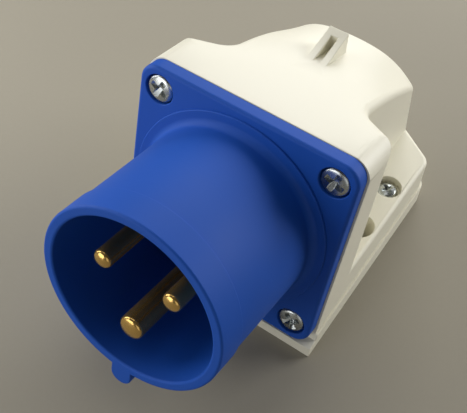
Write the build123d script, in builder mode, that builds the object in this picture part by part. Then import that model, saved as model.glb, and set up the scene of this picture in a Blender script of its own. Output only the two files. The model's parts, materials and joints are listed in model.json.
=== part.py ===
"""Wall-mounted appliance inlet, round-pin, two poles and earth.

A blue inlet (flange, collar and three brass pins) is screwed to a two-part box of cream plastic:
a base plate for the wall and a hood over it. X runs across the part, +Y from the plug end to the
cable end, +Z out from the wall. The origin lies on the wall face, midway between the two fixing holes.
"""
import os
from math import cos, radians, sin, tan

from build123d import *

# Inlet: its face leans back, so its axis rises from the wall towards the plug
INLET_TILT = 13.5  # degrees between the inlet's axis and the wall
FACE_SETBACK = 34.0  # fixing holes to the centre of the flange's face, along the wall
FLANGE_SIDE = 74.5
FLANGE_THICK = 4.6
FLANGE_CORNER = 6.0
FLANGE_EDGE = 1.2
FLANGE_GAP = 1.0  # flange's lowest edge above the base's sill
GASKET_THICK = 0.6
GASKET_INSET = 0.8
STEP_MARGIN = 4.0  # collar's side to the edge of the shallow disc that it stands on
STEP_HEIGHT = 0.8
ROOT_MARGIN = 1.75  # collar's side to the edge of its hollow root
ROOT_HEIGHT = 3.2
COLLAR_DIAMETER = 61.0  # over the band at the rim
COLLAR_LENGTH = 48.8
COLLAR_WALL = 3.2
BAND_LENGTH = 9.8
BAND_STEP = 0.5
RIM_ROUND = 0.8
KEY_WIDTH = 7.2
KEY_PROUD = 6.2  # collar's side to the outside of the key rib
KEY_START = 4.8  # flange's face to the start of the key rib

# Flange screws
SCREW_INSET = 7.25  # flange's sides to the screws' axes
SCREW_SHANK = 4.2
SCREW_HEAD = 9.6
SCREW_HEAD_HEIGHT = 2.6
SCREW_DOME = 1.5  # round of a head's edge
POCKET_GAP = 0.6  # room round a head in its pocket
POCKET_DEPTH = 2.4
SCREW_REACH = 12.0  # shank below the flange's pocket floor

# Contacts: three pins on one circle, earth at six o'clock
PIN_CIRCLE = 27.0
POLE_ANGLE = 30.0  # degrees that the two poles lie above the inlet's middle
POLE_DIAMETER = 6.0
EARTH_DIAMETER = 8.0
PIN_RECESS = 1.7  # collar's rim to the pins' tips
TIP_CROWN = 0.5  # how far a pin's tip bulges
TIP_ROUND = 1.0
PILLAR_EXTRA = 3.0  # terminal pillar over the pin's diameter
PIN_SEAT_EXTRA = 0.4  # pin's seat in the carrier over its diameter
PIN_SEAT_TAPER = 0.6  # carrier face to where the seat has narrowed to the pin
PIN_SHOULDER_DEPTH = 7.0  # carrier face to the start of the pillar
SHOULDER_RING_EXTRA = 2.6
PILLAR_REACH = 12.5  # retainer's back to the back of the pillars
WIRE_HOLE = 4.6
WIRE_HOLE_DEPTH = 10.5
TERMINAL_SHANK = 3.4
TERMINAL_HEAD = 5.6
TERMINAL_HEAD_HEIGHT = 2.2
TERMINAL_FLAT = 0.6
TERMINAL_INSET = 6.0  # pillar's back to the terminal screw

# Contact carrier and the plate that keeps the pins in it
SLEEVE_BORE = 50.0
SLEEVE_WALL = 4.5
SLEEVE_DEPTH = 15.0  # flange face to the back of the sleeve
CARRIER_FLANGE = 3.0
RETAINER_THICK = 2.5
CARRIER_SCREW = 2.8
CARRIER_SCREW_HEAD = 5.2
CARRIER_SCREW_HEAD_HEIGHT = 2.0
CARRIER_SCREW_GRIP = 8.0

# Box
SIDE_MARGIN = 0.75  # flange's sides to the box's sides
BOX_WALL = 2.6
BOX_REAR = 48.0  # fixing holes to the cable end
PARTING = 8.0  # wall to the joint between base and hood
FOOT_TOP = 21.5
FOOT_EDGE = 1.6
CORNER_CUT_ALONG = 9.0  # rear corners cut off at a slant
CORNER_CUT_EXTRA = 0.2  # how far the cut runs in past the neck's side
CORNER_ROUND = 5.0
BASE_LEDGE = 0.8  # base stands out round the hood
SILL_REACH = 3.8  # hood's front at the joint to the base's front edge
SILL_HEIGHT = 5.2
BASE_WALL = 3.2
BASE_FLOOR = 2.5
SEAL_WIDTH = 1.4
SEAL_DEPTH = 1.2

# Hood: a square block behind the flange narrows to an arched back
ROOF_PROUD = 0.25  # top of the block above the flange's top
ROOF_MARGIN = 7.6  # roof's sections over the block's side
ROOF_INNER_PLACE = 0.65  # share of the neck's half width at a point of the arch
ROOF_INNER_SHARE = 0.29  # share of the drop there
ROOF_OUTER_SHARE = 3.0  # share of the drop at a section's ends
FRONT_DROP = 0.02  # how far each section falls from its crown to the neck's sides
SHOULDER_PLACE = 26.0  # flange's face to the section at the shoulders
SHOULDER_FALL = 1.0  # how far a crown lies below the top of the block
SHOULDER_DROP = 0.2
MIDDLE_PLACE = 46.0
MIDDLE_FALL = 2.6
MIDDLE_DROP = 3.0
REAR_PLACE = 88.0
REAR_FALL = 5.7
REAR_DROP = 16.0
NECK_WIDTH = 48.4
BLOCK_END = 14.5  # fixing holes to the corner where the block's side ends
NECK_START = 6.5  # fixing holes to the corner where the neck starts
BLEND_ROUND = 8.0
BLOCK_LEAN = 9.2  # degrees that the block's back leans towards the cable end
REAR_LEAN = 11.0  # degrees that the cable end leans towards the plug
ROOF_EDGE = 3.0
REAR_EDGE = 1.2
FOOT_BLEND = 2.4
BLEND_ROOT = 1.0  # how far the blend reaches into what it joins
FRONT_WALL = 3.0
OPENING_GAP = 0.5  # room round the sleeve in the hood's front
BOSS_DIAMETER = 9.4
BOSS_DEPTH = 14.0

# Lug on the roof: a wedge with a slot in its low end
LUG_WIDTH = 7.0
LUG_FIN = 2.3
LUG_START = 13.0  # fixing holes to the low end
LUG_END = 28.0  # fixing holes to the upright back
LUG_START_RISE = 24.4  # height above the centre of the flange's face
LUG_END_RISE = 28.1
LUG_BACK = 3.0
LUG_ROOT = 12.0

# Feet: a fixing hole and a hood screw on each side
FOOT_HOLE_INSET = 6.4  # box's sides to the holes
FIXING_HOLE = 5.2
FIXING_LEDGE = 2.2  # seat for the wall screw's head round its hole
FIXING_SEAT = 5.0  # wall to the seat of the wall screw's head
HOOD_SCREW_Y = 20.0
HOOD_SCREW_SHANK = 4.0
HOOD_SCREW_HEAD = 7.0
HOOD_SCREW_HEAD_HEIGHT = 2.4
HOOD_SCREW_DOME = 1.2
HOOD_SCREW_GAP = 1.1  # room round a head in its well
HOOD_SCREW_SINK = 1.1  # foot's top to the head's top
HOOD_SCREW_TIP = 2.0  # wall face to the screw's tip
WELL_WALL = 1.9

# Cable entry in the rear end, closed by a rubber grommet
ENTRY_DIAMETER = 25.0
ENTRY_HEIGHT = 17.5  # foot's top to the entry's centre, up the sloping end
GROMMET_RIM = 2.5  # grommet's flange past the entry's edge
GROMMET_PROUD = 2.4
GROMMET_ROUND = 1.2
GROMMET_LIP = 1.6
GROMMET_MEMBRANE = 1.2
GROMMET_WALL = 2.4

# Knock-out ring in the base's back
KNOCKOUT_DIAMETER = 25.0
KNOCKOUT_GROOVE = 1.2
KNOCKOUT_DEPTH = 1.2
KNOCKOUT_Y = 14.0

CLEARANCE = 0.1  # radial room of a pin or screw in its hole
REACH = 200.0  # longer than any cut

# Sizes and frames worked out from those above
tilt = radians(INLET_TILT)
face_height = SILL_HEIGHT + FLANGE_GAP + FLANGE_SIDE / 2 * cos(tilt) + FLANGE_THICK * sin(tilt)
face = Plane(
    origin=(0, -FACE_SETBACK, face_height), x_dir=(1, 0, 0), z_dir=(0, -cos(tilt), sin(tilt))
)
inlet_axis = Axis(face.origin, face.z_dir)
hood_front = -(FLANGE_THICK + GASKET_THICK)
front_plane = face.offset(hood_front)
rim_front = front_plane.origin.Y + (PARTING - front_plane.origin.Z) * tan(tilt)
sill_front = rim_front - SILL_REACH
box_width = FLANGE_SIDE + 2 * SIDE_MARGIN
corner_cut_across = (box_width - NECK_WIDTH) / 2 + CORNER_CUT_EXTRA
roof_height = FLANGE_SIDE / 2 + ROOF_PROUD
screw_pitch = FLANGE_SIDE - 2 * SCREW_INSET
screw_pocket = SCREW_HEAD + 2 * POCKET_GAP
collar_radius = COLLAR_DIAMETER / 2
plan_lean = radians(BLOCK_LEAN)
plan = Plane(origin=(0, 0, FOOT_TOP), x_dir=(1, 0, 0), z_dir=(0, sin(plan_lean), cos(plan_lean)))
rear_lean = radians(REAR_LEAN)
rear_end = Plane(
    origin=(0, BOX_REAR, FOOT_TOP), x_dir=(-1, 0, 0), z_dir=(0, cos(rear_lean), sin(rear_lean))
)
entry = Plane(
    origin=rear_end.from_local_coords((0, ENTRY_HEIGHT, 0)), x_dir=(-1, 0, 0), z_dir=rear_end.z_dir
)
sleeve_diameter = SLEEVE_BORE + 2 * SLEEVE_WALL
opening_diameter = sleeve_diameter + 2 * OPENING_GAP
pin_length = COLLAR_LENGTH - PIN_RECESS
pole_x = PIN_CIRCLE / 2 * cos(radians(POLE_ANGLE))
pole_y = PIN_CIRCLE / 2 * sin(radians(POLE_ANGLE))
earth_y = -PIN_CIRCLE / 2
carrier_back = -(SLEEVE_DEPTH + CARRIER_FLANGE)
retainer_back = carrier_back - RETAINER_THICK
pillar_back = retainer_back - PILLAR_REACH
carrier_screw_x = (SLEEVE_BORE + SLEEVE_WALL) / 2
carrier_screw_places = [(-carrier_screw_x, 0), (carrier_screw_x, 0)]
hood_screw_seat = FOOT_TOP - HOOD_SCREW_SINK - HOOD_SCREW_HEAD_HEIGHT
hood_screw_well = HOOD_SCREW_HEAD + 2 * HOOD_SCREW_GAP
fixing_well = FIXING_HOLE + 2 * FIXING_LEDGE
foot_hole_x = box_width / 2 - FOOT_HOLE_INSET
foot_holes = [(-foot_hole_x, 0), (foot_hole_x, 0)]
hood_screw_places = [(-foot_hole_x, HOOD_SCREW_Y), (foot_hole_x, HOOD_SCREW_Y)]
lug_start_height = face_height + LUG_START_RISE
lug_end_height = face_height + LUG_END_RISE

os.makedirs("parts", exist_ok=True)


def write(builder, name):
    """Label a finished piece and write it to its own file."""
    builder.part.label = name
    export_step(builder.part, f"parts/{name}.step")


def box_outline(growth, front):
    """Outline of the box on the wall: straight sides, rear corners cut off at a slant."""
    side = box_width / 2
    cut = BOX_REAR - CORNER_CUT_ALONG
    with BuildSketch() as outline:
        with BuildLine():
            Polyline(
                (side, front),
                (side, cut),
                (side - corner_cut_across, BOX_REAR),
                (corner_cut_across - side, BOX_REAR),
                (-side, cut),
                (-side, front),
                close=True,
            )
        make_face()
        fillet(outline.vertices().group_by(Axis.Y)[1:], CORNER_ROUND)
        if growth:
            offset(amount=growth, kind=Kind.INTERSECTION)
    return outline.sketch


def roof_section(place, crown, drop):
    """One section of the hood's roof, square to the inlet's axis: upright sides under an arch."""
    end = (box_width / 2 + ROOF_MARGIN, crown - drop * ROOF_OUTER_SHARE)
    side = (NECK_WIDTH / 2, crown - drop)
    inner = (NECK_WIDTH / 2 * ROOF_INNER_PLACE, crown - drop * ROOF_INNER_SHARE)
    half = [end, side, inner]
    with BuildSketch(face.offset(place)) as section:
        with BuildLine():
            arch = Spline(*half, (0, crown), *[(-x, y) for x, y in reversed(half)])
            Polyline(arch @ 1, (-end[0], -box_width), (end[0], -box_width), arch @ 0)
        make_face()
    return section.sketch


def neck_outline(inset):
    """Outline of the hood above its feet: the block, a slanting shoulder and the neck."""
    block = box_width / 2
    neck = NECK_WIDTH / 2
    with BuildSketch(plan) as outline:
        with BuildLine():
            Polyline(
                (block, -REACH),
                (block, -BLOCK_END),
                (neck, -NECK_START),
                (neck, REACH),
                (-neck, REACH),
                (-neck, -NECK_START),
                (-block, -BLOCK_END),
                (-block, -REACH),
                close=True,
            )
        make_face()
        fillet(outline.vertices().group_by(Axis.Y)[1:3], BLEND_ROUND)
        if inset:
            offset(amount=-inset, kind=Kind.INTERSECTION)
    return outline.sketch


def hood_form(front, inset):
    """The hood above its feet, from its front plane to its sloping rear end, drawn in by an inset."""
    top = roof_height - inset
    sections = [
        roof_section(front, top, FRONT_DROP),
        roof_section(-SHOULDER_PLACE, top - SHOULDER_FALL, SHOULDER_DROP),
        roof_section(-MIDDLE_PLACE, top - MIDDLE_FALL, MIDDLE_DROP),
        roof_section(-REAR_PLACE, top - REAR_FALL, REAR_DROP),
    ]
    outline = neck_outline(inset)
    with BuildPart() as form:
        loft(sections)
        extrude(outline, amount=REACH, both=True, mode=Mode.INTERSECT)
        split(bisect_by=rear_end.offset(-inset), keep=Keep.BOTTOM)
        split(bisect_by=Plane.XZ.offset(inset - BOX_REAR), keep=Keep.TOP)
        split(bisect_by=Plane.XY.offset(PARTING), keep=Keep.TOP)
    return form.part


def box_hollow(floor, height, wall, front_wall):
    """Room inside the box behind its front plane, one wall in from its outline."""
    outline = box_outline(-wall, sill_front)
    with BuildPart() as room:
        with BuildSketch(Plane.XY.offset(floor)):
            add(outline)
        extrude(amount=height)
        split(bisect_by=front_plane.offset(-front_wall), keep=Keep.BOTTOM)
    return room.part


def above_sill():
    """All that lies in front of the hood's front plane, above the base's sill."""
    with BuildPart() as room:
        with BuildSketch(Plane.XY.offset(SILL_HEIGHT)):
            Rectangle(2 * box_width, 2 * box_width)
        extrude(amount=REACH)
        split(bisect_by=front_plane, keep=Keep.TOP)
    return room.part


# Hood, outside: the roofed block and neck
roofed = hood_form(hood_front, 0)
with BuildPart() as shell:
    add(roofed)
    roof_edges = shell.faces().filter_by(GeomType.BSPLINE).edges()
    fillet(roof_edges.filter_by(lambda edge: abs((edge @ 0.5).X) > LUG_WIDTH), ROOF_EDGE)
    end_edges = shell.faces().filter_by(rear_end).sort_by(Axis.Y)[-1].edges()
    fillet(end_edges.filter_by(lambda edge: (edge @ 0.5).Z > FOOT_TOP + REAR_EDGE), REAR_EDGE)

# Hood, outside: the feet
with BuildPart() as feet:
    with BuildSketch(Plane.XY.offset(PARTING)):
        add(box_outline(0, sill_front))
    extrude(amount=FOOT_TOP - PARTING)
    split(bisect_by=front_plane, keep=Keep.BOTTOM)
    top_edges = feet.faces().sort_by(Axis.Z)[-1].edges()
    fillet(top_edges.filter_by(lambda edge: (edge @ 0.5).Y > rim_front + CORNER_ROUND), FOOT_EDGE)

# Hood, outside: the hollow blend where the block and neck stand on the feet
with BuildPart() as blend:
    with BuildLine(Plane.XY.offset(FOOT_TOP)) as blend_path:
        FilletPolyline(
            (box_width / 2, rim_front),
            (box_width / 2, -BLOCK_END),
            (NECK_WIDTH / 2, -NECK_START),
            (NECK_WIDTH / 2, BOX_REAR),
            radius=BLEND_ROUND,
        )
    with BuildSketch(Plane(origin=(box_width / 2, rim_front, FOOT_TOP), x_dir=(1, 0, 0), z_dir=(0, -1, 0))):
        with BuildLine():
            Polyline(
                (0, FOOT_BLEND),
                (-BLEND_ROOT, FOOT_BLEND),
                (-BLEND_ROOT, -BLEND_ROOT),
                (FOOT_BLEND, -BLEND_ROOT),
                (FOOT_BLEND, 0),
            )
            RadiusArc((0, FOOT_BLEND), (FOOT_BLEND, 0), FOOT_BLEND)
        make_face()
    sweep(path=blend_path.wire())
    mirror(about=Plane.YZ)
    with BuildSketch(Plane.XY):
        add(box_outline(-FOOT_EDGE, sill_front))
    extrude(amount=REACH, mode=Mode.INTERSECT)
    split(bisect_by=rear_end.offset(-REAR_EDGE), keep=Keep.BOTTOM)

# Hood, outside: the lug on the roof
with BuildPart() as lug:
    with BuildSketch(Plane.YZ):
        with BuildLine():
            Polyline(
                (LUG_START, lug_start_height - LUG_ROOT),
                (LUG_START, lug_start_height),
                (LUG_END, lug_end_height),
                (LUG_END, lug_end_height - LUG_ROOT),
                close=True,
            )
        make_face()
    extrude(amount=LUG_WIDTH / 2, both=True)
    slot_length = LUG_END - LUG_BACK - LUG_START
    with Locations((0, LUG_START + slot_length / 2, lug_end_height)):
        Box(LUG_WIDTH - 2 * LUG_FIN, slot_length, 2 * LUG_ROOT, mode=Mode.SUBTRACT)

# Hood, inside: corner posts for the flange screws and tubes round the holes in the feet
with BuildPart() as corner_posts:
    post_side = box_width / 2 - screw_pitch / 2 + BOSS_DIAMETER / 2
    with BuildSketch(front_plane):
        with GridLocations(box_width - post_side, box_width - post_side, 2, 2):
            Rectangle(post_side, post_side)
    extrude(amount=-BOSS_DEPTH)
    add(shell.part, mode=Mode.INTERSECT)
with BuildPart() as foot_tubes:
    with BuildSketch(Plane.XY.offset(PARTING)):
        with Locations(foot_holes):
            Circle(fixing_well / 2 + WELL_WALL)
        with Locations(hood_screw_places):
            Circle(hood_screw_well / 2 + WELL_WALL)
    extrude(amount=FOOT_TOP - PARTING)
    add(feet.part, mode=Mode.INTERSECT)

# Hood
hood_hollow = hood_form(hood_front - FRONT_WALL, BOX_WALL)
foot_hollow = box_hollow(PARTING, FOOT_TOP - BOX_WALL - PARTING, BOX_WALL, FRONT_WALL)
with BuildPart() as hood:
    add(shell.part)
    add(feet.part)
    add(blend.part)
    add(lug.part)
    add(hood_hollow, mode=Mode.SUBTRACT)
    add(foot_hollow, mode=Mode.SUBTRACT)
    add(corner_posts.part)
    add(foot_tubes.part)
    with BuildSketch(front_plane):
        Circle(opening_diameter / 2)
    extrude(amount=-(FRONT_WALL + BOSS_DEPTH), mode=Mode.SUBTRACT)
    with BuildSketch(front_plane):
        with GridLocations(screw_pitch, screw_pitch, 2, 2):
            Circle(SCREW_SHANK / 2 + CLEARANCE)
    extrude(amount=-SCREW_REACH, mode=Mode.SUBTRACT)
    with BuildSketch(Plane.XY):
        with Locations(foot_holes):
            Circle(fixing_well / 2)
        with Locations(hood_screw_places):
            Circle(HOOD_SCREW_SHANK / 2 + CLEARANCE)
    extrude(amount=FOOT_TOP + FOOT_BLEND, mode=Mode.SUBTRACT)
    with BuildSketch(Plane.XY.offset(hood_screw_seat)):
        with Locations(hood_screw_places):
            Circle(hood_screw_well / 2)
    extrude(amount=FOOT_TOP + FOOT_BLEND - hood_screw_seat, mode=Mode.SUBTRACT)
    with BuildSketch(entry):
        Circle(ENTRY_DIAMETER / 2)
    extrude(amount=2 * BOX_WALL, both=True, mode=Mode.SUBTRACT)
write(hood, "hood")

# Base plate: a tray with a sill in front of the hood
sill_cut = above_sill()
tray = box_hollow(BASE_FLOOR, PARTING - BASE_FLOOR, BASE_WALL, BASE_WALL)
seal_edge = (BASE_WALL - SEAL_WIDTH) / 2
with BuildPart() as base_plate:
    with BuildSketch(Plane.XY):
        add(box_outline(BASE_LEDGE, sill_front))
    extrude(amount=PARTING)
    add(sill_cut, mode=Mode.SUBTRACT)
    add(tray, mode=Mode.SUBTRACT)
    with BuildSketch(Plane.XY.offset(BASE_FLOOR)):
        with Locations(foot_holes):
            Circle(fixing_well / 2 + WELL_WALL)
        with Locations(hood_screw_places):
            Circle(HOOD_SCREW_SHANK / 2 + WELL_WALL)
        add(box_outline(0, sill_front), mode=Mode.INTERSECT)
    extrude(amount=PARTING - BASE_FLOOR)
    with BuildSketch(Plane.XY):
        with Locations(foot_holes):
            Circle(FIXING_HOLE / 2)
    extrude(amount=PARTING, mode=Mode.SUBTRACT)
    with BuildSketch(Plane.XY.offset(FIXING_SEAT)):
        with Locations(foot_holes):
            Circle(fixing_well / 2)
    extrude(amount=PARTING - FIXING_SEAT, mode=Mode.SUBTRACT)
    with BuildSketch(Plane.XY.offset(HOOD_SCREW_TIP)):
        with Locations(hood_screw_places):
            Circle(HOOD_SCREW_SHANK / 2 + CLEARANCE)
    extrude(amount=PARTING - HOOD_SCREW_TIP, mode=Mode.SUBTRACT)
    with BuildSketch(Plane.XY.offset(PARTING)):
        add(box_outline(-seal_edge, rim_front))
        add(box_outline(-seal_edge - SEAL_WIDTH, rim_front), mode=Mode.SUBTRACT)
    extrude(amount=-SEAL_DEPTH, mode=Mode.SUBTRACT)
    with BuildSketch(Plane.XY):
        with Locations((0, KNOCKOUT_Y)):
            Circle(KNOCKOUT_DIAMETER / 2)
            Circle(KNOCKOUT_DIAMETER / 2 - KNOCKOUT_GROOVE, mode=Mode.SUBTRACT)
    extrude(amount=KNOCKOUT_DEPTH, mode=Mode.SUBTRACT)
write(base_plate, "base_plate")

# Seal in the groove of the base's rim
with BuildPart() as hood_seal:
    with BuildSketch(Plane.XY.offset(PARTING)):
        add(box_outline(-seal_edge, rim_front))
        add(box_outline(-seal_edge - SEAL_WIDTH, rim_front), mode=Mode.SUBTRACT)
    extrude(amount=-SEAL_DEPTH)
write(hood_seal, "hood_seal")

# Hood screws
with BuildPart() as hood_screws:
    with BuildSketch(Plane.XY.offset(hood_screw_seat)):
        with Locations(hood_screw_places):
            Circle(HOOD_SCREW_HEAD / 2)
    extrude(amount=HOOD_SCREW_HEAD_HEIGHT)
    fillet(hood_screws.faces().group_by(Axis.Z)[-1].edges(), HOOD_SCREW_DOME)
    with BuildSketch(Plane.XY.offset(hood_screw_seat)):
        with Locations(hood_screw_places):
            Circle(HOOD_SCREW_SHANK / 2)
    extrude(amount=HOOD_SCREW_TIP - hood_screw_seat)
write(hood_screws, "hood_screws")

# Inlet body: flange, collar, key rib and the sleeve behind the flange
collar_bore = collar_radius - COLLAR_WALL
key_root = collar_bore + COLLAR_WALL / 2
key_middle = collar_radius + KEY_PROUD - KEY_WIDTH / 2
with BuildPart() as inlet_body:
    with BuildSketch(face):
        RectangleRounded(FLANGE_SIDE, FLANGE_SIDE, FLANGE_CORNER)
    extrude(amount=-FLANGE_THICK)
    fillet(inlet_body.faces().filter_by(face).sort_by(Axis.Y)[0].edges(), FLANGE_EDGE)
    with BuildSketch(Plane(origin=face.origin, x_dir=face.x_dir, z_dir=-face.y_dir)) as section:
        with BuildLine():
            Polyline(
                (collar_radius + ROOT_MARGIN, STEP_HEIGHT),
                (collar_radius + STEP_MARGIN, STEP_HEIGHT),
                (collar_radius + STEP_MARGIN, -FLANGE_THICK / 2),
                (sleeve_diameter / 2, -FLANGE_THICK / 2),
                (sleeve_diameter / 2, -SLEEVE_DEPTH),
                (SLEEVE_BORE / 2, -SLEEVE_DEPTH),
                (SLEEVE_BORE / 2, 0),
                (collar_bore, 0),
                (collar_bore, COLLAR_LENGTH),
                (collar_radius, COLLAR_LENGTH),
                (collar_radius, COLLAR_LENGTH - BAND_LENGTH),
                (collar_radius - BAND_STEP, COLLAR_LENGTH - BAND_LENGTH),
                (collar_radius - BAND_STEP, ROOT_HEIGHT),
            )
            RadiusArc(
                (collar_radius - BAND_STEP, ROOT_HEIGHT),
                (collar_radius + ROOT_MARGIN, STEP_HEIGHT),
                -ROOT_HEIGHT,
            )
        make_face()
        fillet(section.vertices().group_by(Axis.Y)[-1], RIM_ROUND)
    revolve(axis=inlet_axis)
    with BuildSketch(face.offset(KEY_START)):
        with Locations((0, -key_middle)):
            Circle(KEY_WIDTH / 2)
        with Locations((0, -key_root)):
            Rectangle(KEY_WIDTH, key_middle - key_root, align=(Align.CENTER, Align.MAX))
    extrude(amount=COLLAR_LENGTH - KEY_START)
    with BuildSketch(face):
        Circle(SLEEVE_BORE / 2)
    extrude(amount=-FLANGE_THICK, mode=Mode.SUBTRACT)
    with BuildSketch(face.offset(-POCKET_DEPTH)):
        with GridLocations(screw_pitch, screw_pitch, 2, 2):
            Circle(screw_pocket / 2)
    extrude(amount=POCKET_DEPTH + STEP_HEIGHT, mode=Mode.SUBTRACT)
    with BuildSketch(face):
        with GridLocations(screw_pitch, screw_pitch, 2, 2):
            Circle(SCREW_SHANK / 2 + CLEARANCE)
    extrude(amount=-FLANGE_THICK, mode=Mode.SUBTRACT)
    with BuildSketch(face.offset(-SLEEVE_DEPTH)):
        with Locations(carrier_screw_places):
            Circle(CARRIER_SCREW / 2 + CLEARANCE)
    extrude(amount=CARRIER_SCREW_GRIP, mode=Mode.SUBTRACT)
write(inlet_body, "inlet_body")

# Flat gasket between flange and hood
with BuildPart() as flange_gasket:
    gasket_side = FLANGE_SIDE - 2 * GASKET_INSET
    with BuildSketch(front_plane):
        RectangleRounded(gasket_side, gasket_side, FLANGE_CORNER - GASKET_INSET)
        Circle(opening_diameter / 2, mode=Mode.SUBTRACT)
        with GridLocations(screw_pitch, screw_pitch, 2, 2):
            Circle(SCREW_SHANK / 2 + CLEARANCE, mode=Mode.SUBTRACT)
    extrude(amount=GASKET_THICK)
write(flange_gasket, "flange_gasket")

# Flange screws
with BuildPart() as flange_screws:
    with BuildSketch(face.offset(-POCKET_DEPTH)):
        with GridLocations(screw_pitch, screw_pitch, 2, 2):
            Circle(SCREW_HEAD / 2)
    extrude(amount=SCREW_HEAD_HEIGHT)
    fillet(flange_screws.faces().group_by(inlet_axis)[-1].edges(), SCREW_DOME)
    with BuildSketch(face.offset(-POCKET_DEPTH)):
        with GridLocations(screw_pitch, screw_pitch, 2, 2):
            Circle(SCREW_SHANK / 2)
    extrude(amount=-SCREW_REACH)
write(flange_screws, "flange_screws")


def pin_holes(places, extra):
    """Round holes for all three contacts: what each adds to its pin's diameter is given."""
    with BuildSketch() as holes:
        for x, y, diameter in places:
            with Locations((x, y)):
                Circle((diameter + extra) / 2 + CLEARANCE)
    return holes.sketch


# Contact carrier: fills the sleeve, with a flange behind it
contacts = [
    (-pole_x, pole_y, POLE_DIAMETER),
    (pole_x, pole_y, POLE_DIAMETER),
    (0, earth_y, EARTH_DIAMETER),
]
pin_bores = pin_holes(contacts, PIN_SEAT_EXTRA)
pillar_bores = pin_holes(contacts, PILLAR_EXTRA)
ring_bores = pin_holes(contacts, PILLAR_EXTRA + SHOULDER_RING_EXTRA)
with BuildPart() as contact_carrier:
    with BuildSketch(face):
        Circle(SLEEVE_BORE / 2 - CLEARANCE)
    extrude(amount=-SLEEVE_DEPTH)
    with BuildSketch(face.offset(-SLEEVE_DEPTH)):
        Circle(sleeve_diameter / 2)
    extrude(amount=-CARRIER_FLANGE)
    with BuildSketch(face):
        add(pin_bores)
    extrude(amount=-PIN_SHOULDER_DEPTH, mode=Mode.SUBTRACT)
    with BuildSketch(face.offset(carrier_back)):
        add(pillar_bores)
    extrude(amount=-carrier_back - PIN_SHOULDER_DEPTH, mode=Mode.SUBTRACT)
    with BuildSketch(face.offset(carrier_back)):
        add(ring_bores)
    extrude(amount=CARRIER_FLANGE, mode=Mode.SUBTRACT)
    with BuildSketch(face.offset(carrier_back)):
        with Locations(carrier_screw_places):
            Circle(CARRIER_SCREW / 2 + CLEARANCE)
    extrude(amount=CARRIER_FLANGE, mode=Mode.SUBTRACT)
write(contact_carrier, "contact_carrier")

# Plate behind the carrier that keeps the pins in
with BuildPart() as pin_retainer:
    with BuildSketch(face.offset(carrier_back)):
        Circle(sleeve_diameter / 2)
        add(pillar_bores, mode=Mode.SUBTRACT)
        with Locations(carrier_screw_places):
            Circle(CARRIER_SCREW / 2 + CLEARANCE, mode=Mode.SUBTRACT)
    extrude(amount=-RETAINER_THICK)
write(pin_retainer, "pin_retainer")

# Screws through retainer and carrier into the sleeve
with BuildPart() as carrier_screws:
    with BuildSketch(face.offset(retainer_back)):
        with Locations(carrier_screw_places):
            Circle(CARRIER_SCREW_HEAD / 2)
    extrude(amount=-CARRIER_SCREW_HEAD_HEIGHT)
    with BuildSketch(face.offset(retainer_back)):
        with Locations(carrier_screw_places):
            Circle(CARRIER_SCREW / 2)
    extrude(amount=RETAINER_THICK + CARRIER_FLANGE + CARRIER_SCREW_GRIP)
write(carrier_screws, "carrier_screws")


def terminal_plane(x, y):
    """Plane through a contact's axis at its clamp screw, facing up the flange."""
    centre = face.from_local_coords((x, y, pillar_back + TERMINAL_INSET))
    return Plane(origin=centre, x_dir=face.x_dir, z_dir=face.y_dir)


# Contact pins, turned: rounded tip, tapered seat, shoulder ring and a pillar with a wire hole
for name, (x, y, diameter) in zip(("line_pin", "neutral_pin", "earth_pin"), contacts):
    radius = diameter / 2
    seat = radius + PIN_SEAT_EXTRA / 2
    pillar = radius + PILLAR_EXTRA / 2
    ring = pillar + SHOULDER_RING_EXTRA / 2
    foot = face.from_local_coords((x, y, 0))
    with BuildPart() as pin:
        with BuildSketch(Plane(origin=foot, x_dir=face.x_dir, z_dir=-face.y_dir)) as section:
            with BuildLine():
                TangentArc((0, pin_length), (radius, pin_length - TIP_CROWN), tangent=(1, 0))
                Polyline(
                    (radius, pin_length - TIP_CROWN),
                    (radius, PIN_SEAT_TAPER),
                    (seat, 0),
                    (seat, -PIN_SHOULDER_DEPTH),
                    (pillar, -PIN_SHOULDER_DEPTH),
                    (pillar, -SLEEVE_DEPTH),
                    (ring, -SLEEVE_DEPTH),
                    (ring, carrier_back),
                    (pillar, carrier_back),
                    (pillar, pillar_back),
                    (0, pillar_back),
                    (0, pin_length),
                )
            make_face()
            fillet(section.vertices().sort_by_distance((radius, pin_length))[0], TIP_ROUND)
        revolve(axis=Axis(foot, face.z_dir))
        with BuildSketch(face.offset(pillar_back)):
            with Locations((x, y)):
                Circle(WIRE_HOLE / 2)
        extrude(amount=WIRE_HOLE_DEPTH, mode=Mode.SUBTRACT)
        with BuildSketch(terminal_plane(x, y)):
            Circle(TERMINAL_SHANK / 2 + CLEARANCE)
        extrude(amount=pillar, mode=Mode.SUBTRACT)
        with BuildSketch(terminal_plane(x, y).offset(pillar - TERMINAL_FLAT)):
            Rectangle(2 * pillar, 2 * TERMINAL_INSET)
        extrude(amount=TERMINAL_FLAT, mode=Mode.SUBTRACT)
    write(pin, name)

# Clamp screws in the pillars
with BuildPart() as terminal_screws:
    for x, y, diameter in contacts:
        seat = (diameter + PILLAR_EXTRA) / 2 - TERMINAL_FLAT
        with BuildSketch(terminal_plane(x, y).offset(seat)):
            Circle(TERMINAL_HEAD / 2)
        extrude(amount=TERMINAL_HEAD_HEIGHT)
        with BuildSketch(terminal_plane(x, y).offset(seat)):
            Circle(TERMINAL_SHANK / 2)
        extrude(amount=-TERMINAL_SHANK / 2)
write(terminal_screws, "terminal_screws")

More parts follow.
